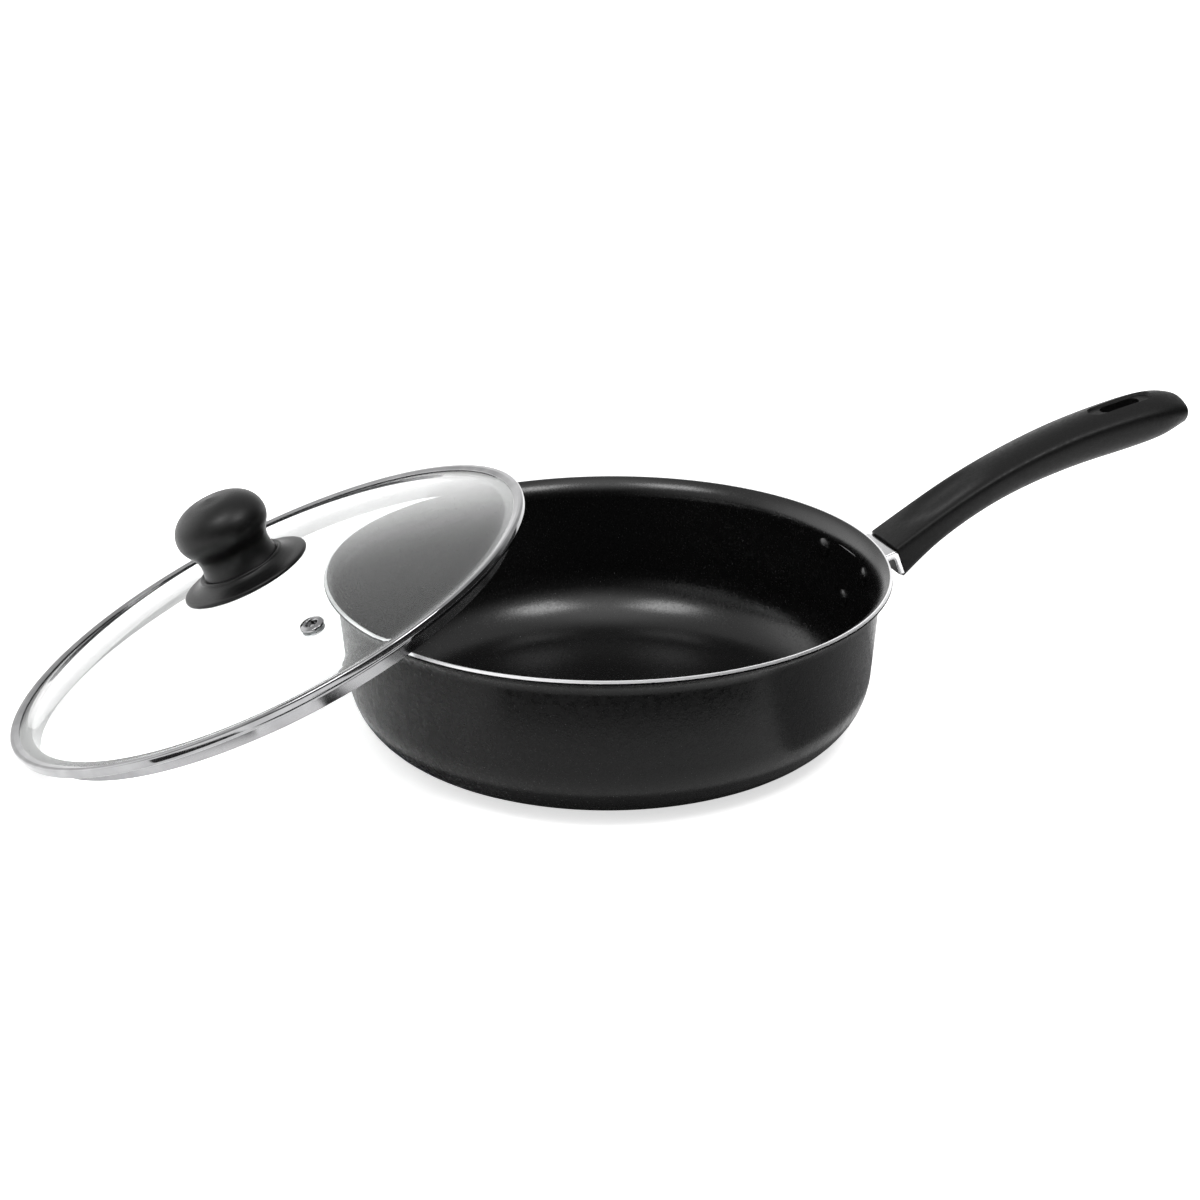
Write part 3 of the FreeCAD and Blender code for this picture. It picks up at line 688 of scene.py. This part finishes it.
def grip_ring(station):
    """Points round the grip at one station: crowned top, softened ridges, rounded keel."""
    ridge, keel = Vector(station[0]), Vector(station[1])
    half, square, crown = station[2] + GRIP_ALLOWANCE, station[3], station[4]
    keel = keel - (ridge - keel).normalized() * GRIP_ALLOWANCE
    ridge = ridge + (ridge - keel).normalized() * GRIP_ALLOWANCE
    depth = (ridge - keel).length
    up = (ridge - keel).normalized()
    soft = min(1.4, half * 0.2, depth * 0.12)
    edge = 1 - soft / half
    section = []
    for share in (-edge, -0.72, -0.42, -0.14, 0.14, 0.42, 0.72, edge):
        section.append((share * half, depth + crown * (1 - share ** 2)))
    sides = []
    for degrees in (0, 18, 34, 48, 61, 74, 90):
        c, s = math.cos(rad(degrees)), math.sin(rad(degrees))
        y = half * max(c, 0) ** (2 / square)
        sides.append((y, (depth - soft) * (1 - s ** (2 / square))))
    right = sides[:-1]
    left = [(-y, w) for y, w in reversed(sides[:-1])]
    section += right + [sides[-1]] + left
    return [(keel.x + up.x * w, y, keel.y + up.y * w) for y, w in section]


def blend_stations(t):
    """Catmull-Rom between stations, at a fractional index."""
    last = len(GRIP_STATIONS) - 1
    i = min(int(t), last - 1)
    f = t - i
    rows = []
    for k in (i - 1, i, i + 1, i + 2):
        ridge, keel, half, square, crown = GRIP_STATIONS[max(0, min(last, k))]
        rows.append(Vector((*ridge, *keel, half, square, crown)))
    p0, p1, p2, p3 = rows
    mixed = []
    for a, b, c, d in zip(p0, p1, p2, p3):
        square, cube = 2 * a - 5 * b + 4 * c - d, 3 * b - a - 3 * c + d
        mixed.append(0.5 * (2 * b + (c - a) * f + square * f ** 2 + cube * f ** 3))
    return (tuple(mixed[0:2]), tuple(mixed[2:4]), mixed[4], mixed[5], mixed[6])


def stadium(name, size, low, high, place, taper):
    """Slot-shaped cutter, in its own frame, of its size at height 0 and wider above."""
    half_length, half_width = size
    mesh = bmesh.new()
    rings = []
    for z in (low, high):
        radius = half_width + taper * z
        ends = arc((half_length - half_width, 0), radius, -90, 90, 14)
        ends += arc((half_width - half_length, 0), radius, 90, 270, 14)
        rings.append([mesh.verts.new((x, y, z)) for x, y in ends])
    bridge_rings(mesh, rings)
    return finish_mesh(name, mesh, [], place)


def drawn_in(ring, share, shift=0.0):
    """A ring drawn in towards its middle, and moved along X."""
    middle = sum((Vector(p) for p in ring), Vector()) / len(ring)
    return [middle + (Vector(p) - middle) * share + Vector((shift, 0, 0)) for p in ring]


def make_grip(plastic):
    """Moulding with a flat front, a rounded tip, a thumb hollow and a slot in a recess."""
    mesh = bmesh.new()
    last = len(GRIP_STATIONS) - 1
    steps = [0, 0.04] + [i / 3 for i in range(1, last * 3)] + [last - 0.12, last]
    rings = []
    front, tip = grip_ring(GRIP_STATIONS[0]), grip_ring(GRIP_STATIONS[-1])
    outlines = [drawn_in(front, share) for share in (0.5, 0.94)]
    outlines += [grip_ring(blend_stations(t)) for t in steps]
    outlines += [drawn_in(tip, share, reach) for share, reach in ((0.7, 0.4), (0.35, 0.6))]
    for points in outlines:
        rings.append([mesh.verts.new(p) for p in points])
    bridge_rings(mesh, rings)
    middle_x, half_length, half_width, depth = THUMB_REST
    for vert in mesh.verts:
        x, y = vert.co.x, vert.co.y
        away = ((x - middle_x) / half_length) ** 2 + (y / half_width) ** 2
        top = blend_height(x)
        if away < 1 and vert.co.z > top - 4:
            share = min(1.0, (1 - away) * 1.7)
            vert.co.z -= depth * share ** 2 * (3 - 2 * share)
    grip = finish_mesh("grip_moulding", mesh, [plastic], sharp=60)
    surface = grip.modifiers.new("surface", "SUBSURF")
    surface.levels = 2
    surface.render_levels = 2
    apply_modifiers(grip)
    tilt = Matrix.Rotation(rad(-SLOT_SLOPE), 4, "Y")
    place = Matrix.Translation(Vector((SLOT_X, 0, blend_height(SLOT_X))) * MM) @ tilt
    cut_away(grip, stadium("recess_cutter", RECESS, -RECESS_DEPTH, 12, place, 0.7))
    cut_away(grip, stadium("slot_cutter", SLOT, -40, 12, place, 0.01))
    grip.data.set_sharp_from_angle(angle=rad(45))
    return place_piece(grip, "pan", "grip", "handle_grip")


def blend_height(x):
    """Height of the middle of the grip's top at an x."""
    last = len(GRIP_STATIONS) - 1
    low, high = 0.0, float(last)
    for _ in range(30):
        t = (low + high) / 2
        ridge, keel, half, square, crown = blend_stations(t)
        if ridge[0] < x:
            low = t
        else:
            high = t
    up = (Vector(ridge) - Vector(keel)).normalized()
    return ridge[1] + up.y * crown


# ------------------------------------------------------------------ lid

def middle_of(node):
    low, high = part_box(node)
    return (low + high) / 2


def lid_place():
    """The lid's frame, read from where the CAD puts the washer under its glass."""
    turn = Matrix.Rotation(rad(LEAN_AZIMUTH - 180), 4, "Z") @ Matrix.Rotation(rad(-LEAN_TILT), 4, "Y")
    axis = turn @ UP
    washer_height = (DOME_TOP - GLASS_THICKNESS - 1.0 - 0.6) * MM
    return Matrix.Translation(middle_of("knob_washer") - axis * washer_height) @ turn


def dome_radius():
    rise = DOME_TOP - GLASS_RIM_TOP
    return (DOME_FOOT_RADIUS ** 2 + rise ** 2) / (2 * rise)


def glass_height(radius):
    sphere = dome_radius()
    return DOME_TOP - sphere + math.sqrt(sphere ** 2 - radius ** 2)


def vent_place():
    """Frame of the vent: origin on top of the glass, Z out of it."""
    turn, away = rad(VENT_ANGLE), VENT_FROM_AXIS
    spot = Vector((away * math.cos(turn), away * math.sin(turn), glass_height(away)))
    normal = spot - Vector((0, 0, DOME_TOP - dome_radius()))
    return lid_place() @ Matrix.Translation(spot * MM) @ normal.to_track_quat("Z", "Y").to_matrix().to_4x4()


def make_glass(glass):
    """Dome with a flat rim, its holes for the knob's screw and the vent."""
    low, high = GLASS_RIM_LOW + 0.05, GLASS_RIM_TOP - 0.05
    steps = 40
    top, under = [], []
    for i in range(steps + 1):
        radius = GLASS_HOLE_RADIUS + (DOME_FOOT_RADIUS - 4 - GLASS_HOLE_RADIUS) * i / steps
        top.append((radius, glass_height(radius)))
        under.append((radius, glass_height(radius) - GLASS_THICKNESS))
    foot = DOME_FOOT_RADIUS
    foot_top = smooth([top[-2], top[-1], (foot, high + 0.35), (foot + 3, high)], 5)[5:]
    foot_under = smooth([under[-2], under[-1], (foot, low + 0.35), (foot + 3, low)], 5)[5:]
    edge = [(GLASS_RADIUS - 0.5, high), (GLASS_RADIUS - 0.1, high - 0.4)]
    edge += [(GLASS_RADIUS - 0.1, low + 0.4), (GLASS_RADIUS - 0.5, low)]
    profile = top[:-1] + foot_top + edge + list(reversed(foot_under)) + list(reversed(under[:-1]))
    dome = lathe("glass_dome", profile, [glass], lid_place(), 256, sharp=60)
    drill_reach = 12
    bore = [(VENT_HOLE_RADIUS, -drill_reach), (VENT_HOLE_RADIUS, drill_reach)]
    bore = [(0, -drill_reach)] + bore + [(0, drill_reach)]
    drill = lathe("vent_drill", bore, [], vent_place(), 48)
    cut_away(dome, drill)
    dome.data.set_sharp_from_angle(angle=rad(60))
    return place_piece(dome, "lid", "lid_glass", "lid_glass")


def make_band(steel, shaded_band):
    """Lip on the glass, round edge, flange below it and the skirt with a rolled lower edge."""
    t = BAND_SHEET
    low, top = FLANGE_LOW, BAND_TOP
    outer, knee = LID_RADIUS, SKIRT_RADIUS
    outside = [
        (knee - t, -SKIRT_DEPTH, 0.25), (knee, -SKIRT_DEPTH, 0.25), (knee, low, 1.2), (outer, low, 2.1),
        (outer, top + 0.3, 2.3), (outer - 2.2, top + 0.3, 1.4), (BAND_LIP_RADIUS, top - 0.2, 0.3),
        (BAND_LIP_RADIUS, top - t, 0.1)]
    inside = [(GLASS_RADIUS, top - t, 0.3), (GLASS_RADIUS, low + t, 0.3), (knee - t, low + t, 1.6)]
    steps = 5
    outline = rounded(outside + inside, steps)
    polished = len(outside) * (steps + 1) - 1
    # the inner faces take the darker steel: painted shade under the lid
    zones = [0] * polished + [1] * (len(outline) - polished)
    band = lathe("rolled_band", outline, [steel, shaded_band], lid_place(), 256, zones, sharp=50)
    return place_piece(band, "lid", "lid_band", "lid_rim_band")


def make_vent(steel):
    """Eyelet through the glass, rolled over the washer below it."""
    washer, gap = 0.7, 0.12
    low = -GLASS_THICKNESS - washer - gap
    corners = [
        (2.5, low - 0.5, 0.2), (4.3, low - 0.5, 0.2), (4.3, low, 0.1), (3.4, low, 0),
        (3.4, 0.1, 0), (5.5, 0.1, 0.05), (5.2, 0.9, 0.5), (3.6, 1.4, 0.6), (2.9, 1.35, 0.4), (2.5, 0.6, 0.5)]
    vent = lathe("vent_grommet", rounded(corners, 5), [steel], vent_place(), 64, sharp=60)
    return place_piece(vent, "lid", "lid_band", "vent_eyelet")


def make_knob(plastic):
    """Brim piece with a raised ring, and the head that is screwed down on it."""
    joint = 27.4
    brim = [(2.8, 22.5), (11.5, 22.5), (29.3, 21.1)]
    brim += smooth([(29.3, 21.1), (30.2, 21.5), (BRIM_RADIUS, 22.3), (30.1, 23.1), (28.9, 23.5), (25.5, 24.1),
                    (22.6, 25.2), (20.9, 26.4)], 6)[1:]
    brim += smooth([(20.6, 26.9), (20.4, 27.6), (19.8, 27.95), (19.1, 27.8), (18.5, joint)], 4)
    brim += [(2.8, joint)]
    head = [(4.2, joint), (17.9, joint)]
    head += smooth([(18.0, joint + 0.1), (17.5, 29.2), (17.0, 31.5), (16.9, 34.0), (17.6, 37.0), (19.3, 40.0),
                    (20.9, 42.8), (21.8, 45.8), (21.8, 48.8), (20.8, 52.2), (18.6, 55.4), (15.2, 58.0),
                    (11.0, 59.7), (5.8, 60.45), (0.0, KNOB_TOP)], 6)
    head = [(0.0, 40.0), (4.2, 40.0)] + head
    brim_piece = lathe("knob_brim", brim, [plastic], lid_place(), 160, sharp=50)
    head_piece = lathe("knob_crown", head, [plastic], lid_place(), 160, sharp=50)
    place_piece(brim_piece, "lid", "knob", "knob_base")
    place_piece(head_piece, "lid", "knob", "knob_head")


# ------------------------------------------------------------------ stage

def around(azimuth, distance, height):
    """Place round the pan: azimuth 0 is towards the camera, 90 to the picture's right."""
    angle = rad(azimuth - CAMERA_AZIMUTH)
    return Vector((distance * math.sin(angle), -distance * math.cos(angle), height))


def make_stage():
    """White light table: mostly lit by the lamps, and glowing a little itself."""
    mesh = bmesh.new()
    side = FLOOR_HALF_SIDE
    corners = ((-side, -side), (side, -side), (side, side), (-side, side))
    mesh.faces.new([mesh.verts.new((x, y, 0)) for x, y in corners])
    surface = Surface("studio_floor", (0.93, 0.93, 0.93), 0.9)
    surface.tint(surface.noise(2.0, 2.0), (0.925, 0.925, 0.925), (0.935, 0.935, 0.935))
    surface.set(Emission_Color=(1, 1, 1, 1), Emission_Strength=FLOOR_GLOW, Specular_IOR_Level=0.1)
    floor = finish_mesh("studio_floor", mesh, [surface.material])
    floor.location.z = -0.0002


def make_flags():
    """Dark cards flat on the floor, seen only in reflections: painted dark reflections, and the ring round
    the foot a painted contact shadow.
    """
    for name, (start, end, inner, outer, tone) in FLAGS.items():
        surface = Surface(name + "_painted_reflection", grey(tone), 0.9)
        surface.tint(surface.noise(40, 2.0), grey(tone * 0.9), grey(tone * 1.1))
        mesh = bmesh.new()
        near, far = [], []
        for azimuth in range(start, end + 1, FLAG_STEP):
            near.append(mesh.verts.new(around(azimuth, inner, 1)))
            far.append(mesh.verts.new(around(azimuth, outer, 1)))
        for k in range(len(near) - 1):
            mesh.faces.new((near[k], near[k + 1], far[k + 1], far[k]))
        flag = finish_mesh(name, mesh, [surface.material])
        flag.visible_camera = False
        flag.visible_diffuse = False
        flag.visible_transmission = False
        flag.visible_shadow = False


def make_softbox(name, place, side, radiance):
    """Square area light of a given brightness, out of the camera's sight."""
    light = bpy.data.lights.new(name, "AREA")
    light.shape = "RECTANGLE"
    light.size, light.size_y = side, side
    light.energy = radiance * math.pi * side * side
    obj = bpy.data.objects.new(name, light)
    bpy.context.scene.collection.objects.link(obj)
    obj.location = place
    obj.rotation_euler = (SOFTBOX_AIM - place).to_track_quat("-Z", "Y").to_euler()
    obj.visible_camera = False


def make_lights():
    """White room, brightest low down behind and on the left, dark on the right, and two soft boxes."""
    world = bpy.data.worlds.new("studio")
    bpy.context.scene.world = world
    world.use_nodes = True
    nodes, links = world.node_tree.nodes, world.node_tree.links
    direction = nodes.new("ShaderNodeTexCoord").outputs["Generated"]

    def toward(vector, start, end, low, high):
        """Brightness that goes from low to high as the cosine to a direction goes from start to end."""
        dot = nodes.new("ShaderNodeVectorMath")
        dot.operation = "DOT_PRODUCT"
        dot.inputs[1].default_value = vector.normalized()
        links.new(direction, dot.inputs[0])
        ramp = nodes.new("ShaderNodeMapRange")
        ramp.interpolation_type = "SMOOTHSTEP"
        for socket, value in zip(("From Min", "From Max", "To Min", "To Max"), (start, end, low, high)):
            ramp.inputs[socket].default_value = value
        links.new(dot.outputs["Value"], ramp.inputs["Value"])
        return ramp.outputs["Result"]

    def combine(operation, first, second):
        node = nodes.new("ShaderNodeMath")
        node.operation = operation
        links.new(first, node.inputs[0])
        if isinstance(second, float):
            node.inputs[1].default_value = second
        else:
            links.new(second, node.inputs[1])
        return node.outputs["Value"]

    low_down = toward(UP, 0.10, 0.55, 0.75, 0.0)
    behind = toward(around(184, 1, 0.15), 0.90, 0.985, 0.1, 1.0)
    left = toward(around(250, 1, 0.2), 0.70, 1.0, 0.0, 1.4)
    dark_side = toward(around(52, 1, 0), -0.02, 0.55, 1.0, 0.06)
    above = toward(UP, 0.35, 0.72, 0.0, 1.0)
    overhead = toward(around(5, 0.36, 1), 0.82, 1.0, 0.0, 1.05)
    level = combine("ADD", combine("MULTIPLY", low_down, behind), left)
    level = combine("ADD", level, ROOM_LIGHT)
    level = combine("MULTIPLY", level, combine("MAXIMUM", dark_side, above))
    level = combine("ADD", level, overhead)
    nodes["Background"].inputs["Color"].default_value = (1, 1, 1, 1)
    links.new(level, nodes["Background"].inputs["Strength"])
    for name, (azimuth, distance, height, side, radiance) in SOFTBOXES.items():
        make_softbox(name, around(azimuth, distance, height), side, radiance)


def make_camera():
    """Same place, aim and lens as the object is seen from."""
    elevation = rad(CAMERA_ELEVATION)
    place = Vector((0, -math.cos(elevation), math.sin(elevation))) * CAMERA_DISTANCE
    forward = -place.normalized()
    right = Vector((1, 0, 0))
    up = right.cross(forward)
    yaw = Matrix.Rotation(rad(CAMERA_YAW), 3, up)
    forward, right = yaw @ forward, yaw @ right
    pitch = Matrix.Rotation(rad(CAMERA_PITCH), 3, right)
    forward = pitch @ forward
    roll = Matrix.Rotation(rad(-CAMERA_ROLL), 3, forward)
    right = roll @ right
    up = right.cross(forward)
    turn = Matrix.Rotation(rad(-CAMERA_AZIMUTH), 4, "Z")
    axes = Matrix((right, up, -forward)).transposed().to_4x4()
    data = bpy.data.cameras.new("camera")
    data.lens = CAMERA_LENS
    data.sensor_width = 36
    camera = bpy.data.objects.new("camera", data)
    bpy.context.scene.collection.objects.link(camera)
    camera.matrix_world = turn @ Matrix.Translation(place) @ axes
    bpy.context.scene.camera = camera
    bpy.context.scene.view_settings.view_transform = "Standard"


# ------------------------------------------------------------------ build

def paint_cad_nodes():
    """The hidden fastenings keep their CAD shapes and get their own finishes."""
    zinc, gold, rubber = fastener_metal(), brass(), silicone()
    finishes = {
        "handle_screw": zinc, "handle_washer": zinc, "handle_nut": zinc, "vent_washer": zinc,
        "knob_screw": zinc, "knob_washer": zinc, "knob_insert": gold,
        "knob_gasket_lower": rubber, "knob_gasket_upper": rubber}
    for node, material in finishes.items():
        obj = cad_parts[node]
        for slot in obj.material_slots:
            slot.material = material


make_camera()
make_stage()
make_flags()
make_lights()
coating = nonstick_inside()
steel = polished_band()
phenolic = knob_plastic()
make_pan_shell(coating, paint_outside(), cut_edge_metal(), base_metal())
make_rivets(coating, rivet_metal())
make_bracket(bracket_metal(), bracket_shade_material())
make_grip(grip_plastic())
make_glass(clear_glass())
make_band(steel, band_inside_shade())
make_vent(steel)
make_knob(phenolic)
paint_cad_nodes()
